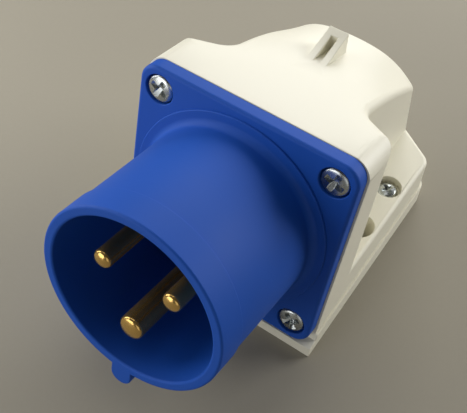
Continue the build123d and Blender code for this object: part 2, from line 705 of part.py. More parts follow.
# Closed rubber grommet in the cable entry
with BuildPart() as entry_grommet:
    with BuildSketch(entry):
        Circle(ENTRY_DIAMETER / 2 + GROMMET_RIM)
    extrude(amount=GROMMET_PROUD)
    fillet(entry_grommet.edges().sort_by(Axis(entry.origin, entry.z_dir))[-1], GROMMET_ROUND)
    with BuildSketch(entry):
        Circle(ENTRY_DIAMETER / 2 - CLEARANCE)
    extrude(amount=-BOX_WALL)
    with BuildSketch(entry.offset(-BOX_WALL)):
        Circle(ENTRY_DIAMETER / 2 + GROMMET_LIP)
    extrude(amount=-GROMMET_LIP)
    with BuildSketch(entry.offset(-BOX_WALL - GROMMET_LIP)):
        Circle(ENTRY_DIAMETER / 2 - GROMMET_WALL)
    extrude(amount=BOX_WALL + GROMMET_LIP + GROMMET_PROUD - GROMMET_MEMBRANE, mode=Mode.SUBTRACT)
write(entry_grommet, "entry_grommet")
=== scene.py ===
"""Looks of a wall-mounted appliance inlet, round-pin, two poles and earth.

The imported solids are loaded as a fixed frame. The blue moulding, the contacts, the screws and the
grommet are modelled here with the detail that the eye meets, the cream box is finished from its own
solids, and every surface gets its material.
"""
import json
from math import atan2, cos, degrees, pi, radians, sin, sqrt, tau

import bmesh
import bpy
from mathutils import Euler, Matrix, Vector


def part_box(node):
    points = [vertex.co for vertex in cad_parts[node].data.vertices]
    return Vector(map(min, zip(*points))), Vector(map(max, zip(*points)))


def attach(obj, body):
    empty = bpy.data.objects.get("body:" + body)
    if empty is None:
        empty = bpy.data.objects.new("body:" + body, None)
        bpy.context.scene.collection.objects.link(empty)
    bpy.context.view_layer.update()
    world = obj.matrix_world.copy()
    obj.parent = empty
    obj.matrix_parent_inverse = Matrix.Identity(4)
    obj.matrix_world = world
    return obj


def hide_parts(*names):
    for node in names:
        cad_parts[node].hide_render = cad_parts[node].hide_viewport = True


bl_info = {
    "name": "Wall-mounted appliance inlet",
    "version": (1, 0, 0),
    "blender": (4, 5, 0),
    "location": "3D View > Sidebar > Inlet",
    "description": "Models and finishes a round-pin appliance inlet on its wall box",
    "category": "Object",
}

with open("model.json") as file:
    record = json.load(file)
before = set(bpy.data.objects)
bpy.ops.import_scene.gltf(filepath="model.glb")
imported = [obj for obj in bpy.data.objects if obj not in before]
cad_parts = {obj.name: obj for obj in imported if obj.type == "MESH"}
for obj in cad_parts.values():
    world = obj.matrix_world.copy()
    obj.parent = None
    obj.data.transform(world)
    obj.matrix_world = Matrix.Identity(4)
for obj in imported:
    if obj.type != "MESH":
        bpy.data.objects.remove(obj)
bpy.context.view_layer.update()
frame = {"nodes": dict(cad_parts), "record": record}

MM = 0.001
MERGE = 0.001 * MM
BODY = "root"
mounts = {mount["name"]: mount for mount in frame["record"]["mounts"]}
collar_outside = mounts["collar"]["dims"]["r_mm"] * MM
inlet_low, inlet_high = (Vector(corner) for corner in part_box("inlet_body"))
hood_screw_low, hood_screw_high = (Vector(corner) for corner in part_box("hood_screws"))

# Facets round the turned pieces, the openings and the holes
COLLAR_FACETS = 192
OPENING_FACETS = 128
GROMMET_FACETS = 96
PIN_FACETS = 64
POCKET_FACETS = 64
SCREW_FACETS = 56
HOLE_FACETS = 40
SMALL_HOLE_FACETS = 32

# Steps along the rounds of the half sections
RIM_STEPS = 6
SMALL_ROUND_STEPS = 4
ROOT_STEPS = 8
TIP_CROWN_STEPS = 6
TIP_EDGE_STEPS = 8
DOME_STEPS = 7
GROMMET_EDGE_STEPS = 6

# Share of a face's normal along Z from which the face counts as an end face
FACING = 0.9

# Faces of a solid's mesh that meet below the first angle are one, edges above the second are softened
FLAT_ANGLE = radians(0.2)
SOFT_EDGE_ANGLE = radians(40)

# Screw head: rise of its crown, where the crown starts to fall (share of the head's radius), how far
# it has fallen there (share of the rise), and where the dome starts (share of its radius, degrees)
CROWN_RISE = 0.35 * MM
CROWN_START = 0.35
CROWN_FALL = 0.12
DOME_START = 0.9
DOME_ANGLE = 72

# Cross recess, as shares of a head's radius, and how much of it is left at the bottom
RECESS_REACH = 0.78
RECESS_WIDTH = 0.4
RECESS_DEPTH = 0.38
RECESS_ROOT = 0.14
RECESS_ROOT_WIDTH = 0.5

# Degrees by which each screw is turned; a hood screw's side comes first
FLANGE_SCREW_TURNS = (18, 64, 37, 71)
HOOD_SCREW_TURNS = ((-1, 30), (1, 58))

# Room between the grommet's waist and the hole in the box's wall
ENTRY_PLAY = 0.1 * MM

# Floor's side in metres, the sky's colour and strength
FLOOR_SIDE = 4
SKY_COLOUR = "FFFAF0"
SKY_STRENGTH = 0.04

# Soft square lamps: name, place and side in metres, power in watts; and the point that all of them face
LAMPS = (
    ("ceiling", (-0.12, 0.02, 0.42), 0.3, 0.3),
    ("back_window", (-0.12, 0.48, 0.26), 0.35, 1.65),
    ("left_window", (-0.3, -0.08, 0.165), 0.25, 0.65),
    ("front_wall", (-0.24, -0.56, 0.165), 0.35, 1.2),
    ("front_right_wall", (0.29, -0.53, 0.165), 0.35, 0.3),
    ("right_wall", (0.36, 0.44, 0.25), 0.35, 2.5),
)
LAMP_AIM = Vector((0, 0, 0.04))

# Camera fitted to the photograph; focal length and sensor width in millimetres
CAMERA_PLACE = Vector((81.8566, -158.6828, 254.5068)) * MM
CAMERA_TURN = Euler([radians(turn) for turn in (35.51756, -1.33078, 34.44058)])
CAMERA_LENS = 64.5438
CAMERA_SENSOR = 36


def length(name, description, metres):
    """A size that a user can change, shown in the scene's units of length."""
    return bpy.props.FloatProperty(
        name=name, description=description, default=metres, min=0.0, precision=5, unit="LENGTH"
    )


def linear(code):
    """An sRGB hex colour as linear red, green, blue and alpha."""
    values = [int(code[place:place + 2], 16) / 255 for place in (0, 2, 4)]
    return [v / 12.92 if v <= 0.04045 else ((v + 0.055) / 1.055) ** 2.4 for v in values] + [1.0]


def colour(name, description, code):
    """A colour that a user can change, given as an sRGB hex value."""
    return bpy.props.FloatVectorProperty(
        name=name,
        description=description,
        default=linear(code),
        size=4,
        min=0.0,
        max=1.0,
        subtype="COLOR",
    )


class MouldingSizes(bpy.types.PropertyGroup):
    """Sizes of the blue moulding: flange, collar, key rib and sleeve."""

    flange_side: length("Flange side", "Side of the square flange", inlet_high.x - inlet_low.x)
    flange_thick: length("Flange thickness", "Thickness of the flange", 4.6 * MM)
    flange_corner: length("Flange corner", "Corner radius of the flange", 6.0 * MM)
    flange_edge: length("Flange edge", "Round along the flange's front edge", 1.2 * MM)
    lip_height: length("Lip height", "Lip round the flange's back, over the gasket's edge", 0.5 * MM)
    lip_width: length("Lip width", "Width of the lip round the flange's back", 0.7 * MM)
    collar_radius: length("Collar radius", "Over the band at the rim", collar_outside)
    collar_length: length("Collar length", "Flange face to rim", 48.8 * MM)
    collar_wall: length("Collar wall", "Wall of the collar at its rim", 3.2 * MM)
    band_length: length("Band length", "Length of the band at the rim", 9.8 * MM)
    band_step: length("Band step", "How far the band stands out", 0.5 * MM)
    rim_round: length("Rim round", "Round on both edges of the rim", 0.8 * MM)
    root_margin: length("Root margin", "How far the hollow root runs out", 1.75 * MM)
    root_height: length("Root height", "Height of the hollow root", 3.2 * MM)
    step_margin: length("Step margin", "How far the shallow disc runs out", 4.0 * MM)
    step_height: length("Step height", "Height of the shallow disc", 0.8 * MM)
    step_round: length("Step round", "Round on the shallow disc's edge", 0.35 * MM)
    sleeve_bore: length("Sleeve bore", "Radius of the bore for the contact carrier", 25.0 * MM)
    sleeve_wall: length("Sleeve wall", "Wall of the sleeve behind the flange", 4.5 * MM)
    sleeve_depth: length("Sleeve depth", "Flange face to the sleeve's back", 15.0 * MM)
    key_width: length("Key width", "Width of the key rib", 7.2 * MM)
    key_proud: length("Key height", "How far the key rib stands out", 6.2 * MM)
    key_start: length("Key start", "Flange face to the key rib", 4.8 * MM)
    key_round: length("Key round", "Round on the key rib's ends", 0.5 * MM)
    screw_inset: length("Screw inset", "Flange's sides to the screws", 7.25 * MM)
    pocket_radius: length("Pocket radius", "Round pocket for a screw's head", 4.95 * MM)
    pocket_depth: length("Pocket depth", "Depth of a screw's pocket", 2.4 * MM)
    pocket_round: length("Pocket round", "Round on a pocket's edge", 0.35 * MM)
    carrier_hole: length("Carrier screw hole", "Radius of a carrier screw's hole", 1.5 * MM)
    carrier_grip: length("Carrier screw grip", "Depth of a carrier screw's hole", 8.0 * MM)


class ScrewSizes(bpy.types.PropertyGroup):
    """Sizes of the zinc-plated cross-recessed screws."""

    flange_head: length("Flange screw head", "Radius of a flange screw's head", 4.8 * MM)
    flange_head_height: length("Flange screw head height", "Height of a flange screw's head", 2.6 * MM)
    flange_dome: length("Flange screw dome", "Round of a flange screw's head", 1.5 * MM)
    flange_shank: length("Flange screw shank", "Radius of a flange screw's shank", 2.1 * MM)
    flange_reach: length("Flange screw reach", "Shank below a flange screw's head", 12.0 * MM)
    hood_head: length("Hood screw head", "Radius of a hood screw's head", 3.5 * MM)
    hood_head_height: length("Hood screw head height", "Height of a hood screw's head", 2.4 * MM)
    hood_dome: length("Hood screw dome", "Round of a hood screw's head", 1.2 * MM)
    hood_shank: length("Hood screw shank", "Radius of a hood screw's shank", 2.0 * MM)
    clearance: length("Clearance", "Room round a screw in its hole", 0.1 * MM)


class ContactSizes(bpy.types.PropertyGroup):
    """Sizes of the turned brass contacts, measured from the flange's face."""

    tip: length("Tip", "Flange face to the tips", 47.1 * MM)
    tip_crown: length("Tip crown", "How far a tip bulges", 0.9 * MM)
    tip_round: length("Tip round", "Round of a tip's edge", 1.3 * MM)
    seat_extra: length("Seat extra", "Seat in the carrier over the pin's radius", 0.2 * MM)
    seat_taper: length("Seat taper", "Length over which the seat narrows to the pin", 0.6 * MM)
    shoulder: length("Shoulder", "Flange face down to the pillar", 7.0 * MM)
    pillar_extra: length("Pillar extra", "Pillar over the pin's radius", 1.5 * MM)
    ring_extra: length("Ring extra", "Shoulder ring over the pillar's radius", 1.3 * MM)
    ring_top: length("Ring top", "Flange face down to the shoulder ring", 15.0 * MM)
    ring_back: length("Ring back", "Flange face down to the ring's back", 18.0 * MM)
    pillar_back: length("Pillar back", "Flange face down to the pillar's end", 33.0 * MM)
    wire_hole: length("Wire hole", "Radius of the wire's hole", 2.3 * MM)
    wire_depth: length("Wire depth", "Depth of the wire's hole", 10.5 * MM)
    clamp_hole: length("Clamp hole", "Radius of the clamp screw's hole", 1.8 * MM)
    clamp_inset: length("Clamp inset", "Pillar's end to the clamp screw", 6.0 * MM)
    clamp_flat: length("Clamp flat", "Depth of the flat under the clamp screw", 0.6 * MM)


class GrommetSizes(bpy.types.PropertyGroup):
    """Sizes of the closed rubber grommet in the cable entry."""

    flange: length("Grommet flange", "Radius of the flange outside the box", 15.0 * MM)
    proud: length("Grommet height", "How far the grommet stands out", 2.4 * MM)
    edge: length("Grommet edge", "Round of the flange's edge", 1.2 * MM)
    waist: length("Grommet waist", "Radius in the box's wall", 12.4 * MM)
    wall: length("Box wall", "Wall that the grommet grips", 2.6 * MM)
    lip: length("Grommet lip", "Lip inside the box", 1.6 * MM)
    bore: length("Grommet bore", "Radius of the hollow behind the membrane", 10.1 * MM)
    membrane: length("Membrane", "Thickness of the closed membrane", 1.2 * MM)
    ring_pitch: length("Ring pitch", "Spacing of the cutting rings on the membrane", 2.2 * MM)
    ring_depth: length("Ring depth", "Depth of a cutting ring", 0.5 * MM)


class Finishes(bpy.types.PropertyGroup):
    """Colours of the materials, and the soft edges and corners of the cream mouldings."""

    blue: colour("Blue polyamide", "Moulded inlet", "0E4FB2")
    cream: colour("Cream housing", "Moulded hood and base", "EFEBD8")
    brass: colour("Turned brass", "Contacts", "DDB468")
    zinc: colour("Zinc plating", "Screws", "C4C6C2")
    insulator: colour("Insulator", "Contact carrier and its retainer", "101A38")
    gasket: colour("Gasket foam", "Gasket under the flange", "CFC9B4")
    seal: colour("Seal rubber", "Seal between hood and base", "16171B")
    grommet: colour("Grommet rubber", "Cable grommet", "5A5A57")
    floor: colour("Floor", "Plain floor", "9A9485")
    edge_round: length("Edge round", "Soft edge of the cream mouldings", 0.3 * MM)
    roof_proud: length("Roof height", "Hood's roof above the flange's top", 0.25 * MM)
    corner_margin: length("Corner margin", "Hood's corner round over the flange's", 0.9 * MM)
    corner_play: length("Corner play", "How far the round runs out past the hood's sides", 0.1 * MM)


def start_piece():
    """Leave edit mode and clear the selection, so that the next operator acts on its own piece."""
    if bpy.context.mode != "OBJECT":
        bpy.ops.object.mode_set(mode="OBJECT")
    bpy.ops.object.select_all(action="DESELECT")


def activate(piece):
    """Make one piece the only one that operators act on."""
    start_piece()
    bpy.context.view_layer.objects.active = piece
    piece.select_set(True)


def named(name):
    """Give the primitive that was just added its name."""
    piece = bpy.context.object
    piece.name = piece.data.name = name
    return piece


def choose(kind, test):
    """Select the points, edges or faces (VERT, EDGE, FACE) of the open piece that pass a test."""
    bpy.ops.mesh.select_all(action="DESELECT")
    bpy.ops.mesh.select_mode(type=kind)
    mesh = bmesh.from_edit_mesh(bpy.context.object.data)
    for element in {"VERT": mesh.verts, "EDGE": mesh.edges, "FACE": mesh.faces}[kind]:
        if test(element):
            element.select_set(True)
    mesh.select_flush_mode()
    bmesh.update_edit_mesh(bpy.context.object.data)


def looks_up(face):
    """Whether a face looks along Z."""
    return face.normal.z > FACING


def looks_down(face):
    """Whether a face looks against Z."""
    return face.normal.z < -FACING


def middle(edge):
    """Midpoint of an edge."""
    return (edge.verts[0].co + edge.verts[1].co) / 2


def arc(centre, radius, start, end, steps):
    """Points of a circular arc in a half section, between two angles in degrees."""
    angles = [radians(start + (end - start) * step / steps) for step in range(steps + 1)]
    return [(centre[0] + radius * cos(angle), centre[1] + radius * sin(angle)) for angle in angles]


def turned(name, profile, facets):
    """A round piece about Z: its half section of (radius, height) points is extruded, then spun."""
    start_piece()
    bpy.ops.mesh.primitive_plane_add(size=MM)
    piece = named(name)
    bpy.ops.object.mode_set(mode="EDIT")
    bpy.ops.mesh.select_mode(type="VERT")
    bpy.ops.mesh.select_all(action="SELECT")
    bpy.ops.mesh.merge(type="CENTER")
    last = Vector((0, 0, 0))
    for step, (radius, height) in enumerate(profile):
        point = Vector((radius, 0, height))
        if step == 0:
            bpy.ops.transform.translate(value=point - last)
        else:
            bpy.ops.mesh.extrude_region_move(TRANSFORM_OT_translate={"value": point - last})
        last = point
    bpy.ops.mesh.select_all(action="SELECT")
    bpy.ops.mesh.spin(steps=facets, angle=tau, center=(0, 0, 0), axis=(0, 0, 1))
    bpy.ops.mesh.select_all(action="SELECT")
    bpy.ops.mesh.remove_doubles(threshold=MERGE)
    bpy.ops.mesh.normals_make_consistent(inside=False)
    bpy.ops.object.mode_set(mode="OBJECT")
    return piece


def block(name, size, centre):
    """A rectangular block to shape or to cut with, left in edit mode."""
    start_piece()
    bpy.ops.mesh.primitive_cube_add(size=1)
    piece = named(name)
    bpy.ops.object.mode_set(mode="EDIT")
    bpy.ops.transform.resize(value=size)
    bpy.ops.transform.translate(value=centre)
    return piece


def rod(name, radius, start, end, facets):
    """A plain round rod to cut with, between two points."""
    start_piece()
    along = Vector(end) - Vector(start)
    bpy.ops.mesh.primitive_cylinder_add(
        vertices=facets,
        radius=radius,
        depth=along.length,
        location=(Vector(start) + Vector(end)) / 2,
        rotation=along.to_track_quat("Z", "Y").to_euler(),
    )
    return named(name)


def discard(piece):
    """Remove a piece that is used up, with its mesh."""
    mesh = piece.data
    bpy.data.objects.remove(piece)
    bpy.data.meshes.remove(mesh)


def combine(piece, tool, operation):
    """Join a tool to a piece (UNION) or cut the piece with it (DIFFERENCE), and remove the tool."""
    activate(piece)
    boolean = piece.modifiers.new("Boolean", "BOOLEAN")
    boolean.solver = "MANIFOLD"
    boolean.operation = operation
    boolean.object = tool
    bpy.ops.object.modifier_apply(modifier=boolean.name)
    discard(tool)


def place(piece, matrix):
    """Move a piece that was modelled about the origin to its place, and put that place in its mesh."""
    activate(piece)
    piece.matrix_world = matrix
    bpy.ops.object.transform_apply(location=True, rotation=True, scale=True)


def finish_piece(piece, nodes, material, crease=35):
    """Smooth a piece up to its creases, give it its material, hang it on the body's empty and hide the
    solids it stands for.
    """
    activate(piece)
    bpy.ops.object.shade_smooth_by_angle(angle=radians(crease))
    weighted = piece.modifiers.new("Weighted normals", "WEIGHTED_NORMAL")
    weighted.keep_sharp = True
    bpy.ops.object.modifier_apply(modifier=weighted.name)
    piece.data.materials.clear()
    piece.data.materials.append(material)
    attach(piece, BODY)
    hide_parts(*nodes)


def frame_at(origin, out):
    """Frame with Z along a direction and X across the part."""
    out = Vector(out).normalized()
    across = Vector((1, 0, 0))
    matrix = Matrix((across, out.cross(across), out)).transposed().to_4x4()
    matrix.translation = origin
    return matrix


def inlet_frame():
    """The inlet's own frame on the flange's face: X across, Y up the flange, Z out of the collar."""
    sizes = bpy.context.scene.inlet_moulding
    rim = mounts["collar"]
    out = Vector(rim["axis"]).normalized()
    return frame_at(Vector(rim["pos_m"]) - out * sizes.collar_length, out)


def screw_places():
    """Where the four flange screws stand, in the inlet's own frame."""
    sizes = bpy.context.scene.inlet_moulding
    reach = sizes.flange_side / 2 - sizes.screw_inset
    return [(x * reach, y * reach) for x in (-1, 1) for y in (-1, 1)]


def add(tree, kind, inputs=None, **settings):
    """Add a node with its settings; an input is given a value, or linked where a socket is given."""
    node = tree.nodes.new(kind)
    for name, value in settings.items():
        setattr(node, name, value)
    for name, value in (inputs or {}).items():
        if isinstance(value, bpy.types.NodeSocket):
            tree.links.new(value, node.inputs[name])
        else:
            node.inputs[name].default_value = value
    return node


def material_start(name):
    """A new material with its node tree, its shader and the piece's own coordinates."""
    material = bpy.data.materials.new(name)
    material.use_nodes = True
    tree = material.node_tree
    shader = tree.nodes["Principled BSDF"]
    coords = add(tree, "ShaderNodeTexCoord").outputs["Object"]
    return material, tree, shader, coords


def per_size(millimetres):
    """Texture scale at which one cell of a pattern is that wide."""
    return 1 / (millimetres * MM)


def shaded(base, share):
    """A colour made darker or lighter by a share of itself."""
    return [min(1, channel * share) for channel in base[:3]] + [1]


def vary_surface(tree, shader, pattern, tints, roughness, relief, strength, depth):
    """Let one pattern shift a surface's colour and roughness, and another one raise it a little."""
    spread = pattern.outputs["Fac"]
    tint = add(
        tree,
        "ShaderNodeMix",
        {"Factor": spread, "A": tints[0], "B": tints[1]},
        data_type="RGBA",
    )
    dull = add(
        tree,
        "ShaderNodeMapRange",
        {"Value": spread, "To Min": roughness[0], "To Max": roughness[1]},
    )
    bump = add(
        tree,
        "ShaderNodeBump",
        {"Height": relief.outputs["Fac"], "Strength": strength, "Distance": depth},
    )
    tree.links.new(tint.outputs["Result"], shader.inputs["Base Color"])
    tree.links.new(dull.outputs["Result"], shader.inputs["Roughness"])
    tree.links.new(bump.outputs["Normal"], shader.inputs["Normal"])


def blue_polyamide():
    """Polyamide from a spark-eroded mould: saturated blue, a broad satin sheen, a very fine grain."""
    material, tree, shader, coords = material_start("moulded_blue_polyamide")
    base = bpy.context.scene.inlet_finishes.blue
    # Slow flow marks; the eroded grain is finer in fact, and drawn at 0.35 mm so that it shows close up
    flow = add(tree, "ShaderNodeTexNoise", {"Vector": coords, "Scale": per_size(18), "Detail": 3.0})
    grain = add(tree, "ShaderNodeTexNoise", {"Vector": coords, "Scale": per_size(0.35), "Detail": 2.0})
    vary_surface(
        tree,
        shader,
        pattern=flow,
        tints=(shaded(base, 0.94), shaded(base, 1.06)),
        roughness=(0.58, 0.68),
        relief=grain,
        strength=0.12,
        depth=0.02 * MM,
    )
    shader.inputs["IOR"].default_value = 1.53
    shader.inputs["Specular IOR Level"].default_value = 0.3
    return material


def cream_housing():
    """Impact-proof moulded plastic: warm off-white, satin, faintly uneven as a large moulding is."""
    material, tree, shader, coords = material_start("moulded_cream_plastic")
    base = bpy.context.scene.inlet_finishes.cream
    flow = add(tree, "ShaderNodeTexNoise", {"Vector": coords, "Scale": per_size(25), "Detail": 3.0})
    grain = add(tree, "ShaderNodeTexNoise", {"Vector": coords, "Scale": per_size(0.45), "Detail": 2.0})
    vary_surface(
        tree,
        shader,
        pattern=flow,
        tints=(shaded(base, 0.97), shaded(base, 1.02)),
        roughness=(0.42, 0.52),
        relief=grain,
        strength=0.1,
        depth=0.02 * MM,
    )
    shader.inputs["IOR"].default_value = 1.55
    return material


def turned_brass():
    """Brass off the lathe: warm yellow metal with fine rings round the pin and duller patches."""
    material, tree, shader, coords = material_start("turned_brass")
    base = bpy.context.scene.inlet_finishes.brass
    along_pin = add(tree, "ShaderNodeMapping", {"Vector": coords}, vector_type="TEXTURE")
    along_pin.inputs["Rotation"].default_value = inlet_frame().to_euler()
    handling = add(tree, "ShaderNodeTexNoise", {"Vector": coords, "Scale": per_size(3), "Detail": 4.0})
    # Tool marks, one ring every 0.3 mm along the pin; a wave runs through 20 radians in one unit
    ring_scale = per_size(0.3) * tau / 20
    rings = add(
        tree,
        "ShaderNodeTexWave",
        {"Vector": along_pin.outputs["Vector"], "Scale": ring_scale, "Distortion": 0.6},
        bands_direction="Z",
    )
    vary_surface(
        tree,
        shader,
        pattern=handling,
        tints=(shaded(base, 0.9), base),
        roughness=(0.15, 0.24),
        relief=rings,
        strength=0.15,
        depth=0.01 * MM,
    )
    shader.inputs["Metallic"].default_value = 0.8
    return material


def zinc_plate():
    """Bright zinc plating on steel: a soft, pale grey mirror with cloudy, slightly blue patches."""
    material, tree, shader, coords = material_start("zinc_plated_steel")
    base = bpy.context.scene.inlet_finishes.zinc
    bluish = [base[0] * 0.82, base[1] * 0.88, base[2] * 0.95, 1]
    cloud = add(tree, "ShaderNodeTexNoise", {"Vector": coords, "Scale": per_size(1.6), "Detail": 4.0})
    pits = add(tree, "ShaderNodeTexNoise", {"Vector": coords, "Scale": per_size(0.25), "Detail": 2.0})
    vary_surface(
        tree,
        shader,
        pattern=cloud,
        tints=(base, bluish),
        roughness=(0.18, 0.36),
        relief=pits,
        strength=0.15,
        depth=0.02 * MM,
    )
    shader.inputs["Metallic"].default_value = 1.0
    return material


def soft_matt(name, base, rough, grain_size, spread=0.15):
    """A matt, slightly grainy surface, as of rubber, a filled moulding or a painted board."""
    material, tree, shader, coords = material_start(name)
    grain_scale = per_size(grain_size)
    grain = add(tree, "ShaderNodeTexNoise", {"Vector": coords, "Scale": grain_scale, "Detail": 3.0})
    vary_surface(
        tree,
        shader,
        pattern=grain,
        tints=(shaded(base, 1 - spread), shaded(base, 1 + spread)),
        roughness=(rough - 0.06, rough + 0.06),
        relief=grain,
        strength=0.2,
        depth=0.03 * MM,
    )
    return material


def flange_plate(sizes, screws):
    """Square flange with rounded corners and front edge, its screw pockets and its middle cut out."""
    half = sizes.flange_side / 2
    depth = sizes.flange_thick + sizes.lip_height
    plate = block("flange_plate", (sizes.flange_side, sizes.flange_side, depth), (0, 0, -depth / 2))
    choose("EDGE", lambda edge: abs(edge.verts[0].co.z - edge.verts[1].co.z) > sizes.flange_thick / 2)
    bpy.ops.mesh.bevel(offset=sizes.flange_corner, segments=14, profile=0.5)
    choose("FACE", looks_up)
    bpy.ops.mesh.region_to_loop()
    bpy.ops.mesh.bevel(offset=sizes.flange_edge, segments=6, profile=0.5)
    # The back is sunk inside the lip, which leaves the gasket its room
    choose("FACE", looks_down)
    bpy.ops.mesh.inset(thickness=sizes.lip_width)
    bpy.ops.mesh.extrude_region_move(TRANSFORM_OT_translate={"value": (0, 0, sizes.lip_height)})
    bpy.ops.mesh.select_all(action="SELECT")
    bpy.ops.mesh.normals_make_consistent(inside=False)
    bpy.ops.object.mode_set(mode="OBJECT")
    # The cut ends inside the wall that the collar and its sleeve share
    wall_middle = (sizes.collar_radius - sizes.collar_wall + sizes.sleeve_bore + sizes.sleeve_wall) / 2
    opening = rod("middle", wall_middle, (0, 0, -half), (0, 0, half), OPENING_FACETS)
    combine(plate, opening, "DIFFERENCE")
    hole_radius = screws.flange_shank + screws.clearance
    for x, y in screw_places():
        floor, back, front = (x, y, -sizes.pocket_depth), (x, y, -half), (x, y, half)
        combine(plate, rod("pocket", sizes.pocket_radius, floor, front, POCKET_FACETS), "DIFFERENCE")
        combine(plate, rod("hole", hole_radius, back, front, HOLE_FACETS), "DIFFERENCE")
    activate(plate)
    bpy.ops.object.mode_set(mode="EDIT")

    def on_pocket_rim(edge):
        """Whether an edge runs round the top of a screw's pocket."""
        spot = middle(edge)
        if any(abs(vertex.co.z) > MERGE for vertex in edge.verts):
            return False
        gaps = [(spot.xy - Vector(centre)).length - sizes.pocket_radius for centre in screw_places()]
        return min(abs(gap) for gap in gaps) < sizes.pocket_round / 4

    choose("EDGE", on_pocket_rim)
    bpy.ops.mesh.bevel(offset=sizes.pocket_round, segments=3, profile=0.5)
    bpy.ops.object.mode_set(mode="OBJECT")
    return plate


def collar_ring(sizes):
    """Collar with its band and hollow root, the shallow disc that it stands on and the sleeve behind."""
    bore = sizes.collar_radius - sizes.collar_wall
    waist = sizes.collar_radius - sizes.band_step
    root = sizes.collar_radius + sizes.root_margin
    disc = sizes.collar_radius + sizes.step_margin
    sleeve = sizes.sleeve_bore + sizes.sleeve_wall
    rim = sizes.collar_length
    band = rim - sizes.band_length
    inner_rim = (bore + sizes.rim_round, rim - sizes.rim_round)
    outer_rim = (sizes.collar_radius - sizes.rim_round, rim - sizes.rim_round)
    band_corner = (sizes.collar_radius - sizes.band_step / 2, band + sizes.band_step / 2)
    disc_corner = (disc - sizes.step_round, sizes.step_height - sizes.step_round)
    rise = sizes.root_height - sizes.step_height
    run = root - waist
    profile = [(sizes.sleeve_bore, 0), (bore, 0), (bore, rim / 2)]
    profile += arc(inner_rim, sizes.rim_round, 180, 90, RIM_STEPS)
    profile += arc(outer_rim, sizes.rim_round, 90, 0, RIM_STEPS)
    profile += arc(band_corner, sizes.band_step / 2, 0, -90, SMALL_ROUND_STEPS)
    profile += [(waist, band), (waist, rim / 2)]
    for step in range(ROOT_STEPS, -1, -1):
        turn = step / ROOT_STEPS * pi / 2
        profile.append((root - run * sin(turn), sizes.root_height - rise * cos(turn)))
    profile += arc(disc_corner, sizes.step_round, 90, 0, SMALL_ROUND_STEPS)
    profile += [(disc, -sizes.flange_thick / 2), (sleeve, -sizes.flange_thick / 2)]
    profile += [(sleeve, -sizes.sleeve_depth), (sizes.sleeve_bore, -sizes.sleeve_depth), profile[0]]
    return turned("collar_ring", profile, COLLAR_FACETS)


def key_rib(sizes):
    """Key rib at six o'clock: a round-backed bar along the collar."""
    reach = sizes.collar_radius + sizes.key_proud
    root = sizes.collar_radius - sizes.collar_wall / 2
    rib_length = sizes.collar_length - sizes.key_start
    rib = block(
        "key_rib",
        (sizes.key_width, reach - root, rib_length),
        (0, -(reach + root) / 2, sizes.key_start + rib_length / 2),
    )
    outside = -reach + MERGE
    choose("EDGE", lambda edge: middle(edge).y < outside and abs(middle(edge).x) > sizes.key_width / 4)
    bpy.ops.mesh.bevel(offset=sizes.key_width / 2 - MERGE, segments=12, profile=0.5)
    choose("FACE", lambda face: looks_up(face) or looks_down(face))
    bpy.ops.mesh.region_to_loop()
    bpy.ops.mesh.bevel(offset=sizes.key_round, segments=3, profile=0.5)
    bpy.ops.object.mode_set(mode="OBJECT")
    return rib


class INLET_OT_moulding(bpy.types.Operator):
    """Model the blue moulding: flange, collar, key rib and sleeve"""

    bl_idname = "inlet.moulding"
    bl_label = "Blue moulding"

    def execute(self, context):
        sizes = context.scene.inlet_moulding
        piece = collar_ring(sizes)
        piece.name = piece.data.name = "blue_moulding"
        combine(piece, flange_plate(sizes, context.scene.inlet_screws), "UNION")
        combine(piece, key_rib(sizes), "UNION")
        across = sizes.sleeve_bore + sizes.sleeve_wall / 2
        for x in (-across, across):
            start, end = (x, 0, -2 * sizes.sleeve_depth), (x, 0, sizes.carrier_grip - sizes.sleeve_depth)
            hole = rod("carrier_hole", sizes.carrier_hole, start, end, SMALL_HOLE_FACETS)
            combine(piece, hole, "DIFFERENCE")
        place(piece, inlet_frame())
        finish_piece(piece, ["inlet_body"], blue_polyamide())
        return {"FINISHED"}


def pin_tip(sizes, radius):
    """Half section of a pin's tip: a shallow crown that runs into the rounded edge."""
    ball = (radius ** 2 + sizes.tip_crown ** 2) / (2 * sizes.tip_crown)
    ball_centre = sizes.tip - ball
    edge_middle = radius - sizes.tip_round
    edge_height = sqrt((ball - sizes.tip_round) ** 2 - edge_middle ** 2)
    meet = degrees(atan2(edge_height, edge_middle))
    crown = arc((0, ball_centre), ball, 90, meet, TIP_CROWN_STEPS)
    edge = arc((edge_middle, ball_centre + edge_height), sizes.tip_round, meet, 0, TIP_EDGE_STEPS)
    return crown + edge[1:]


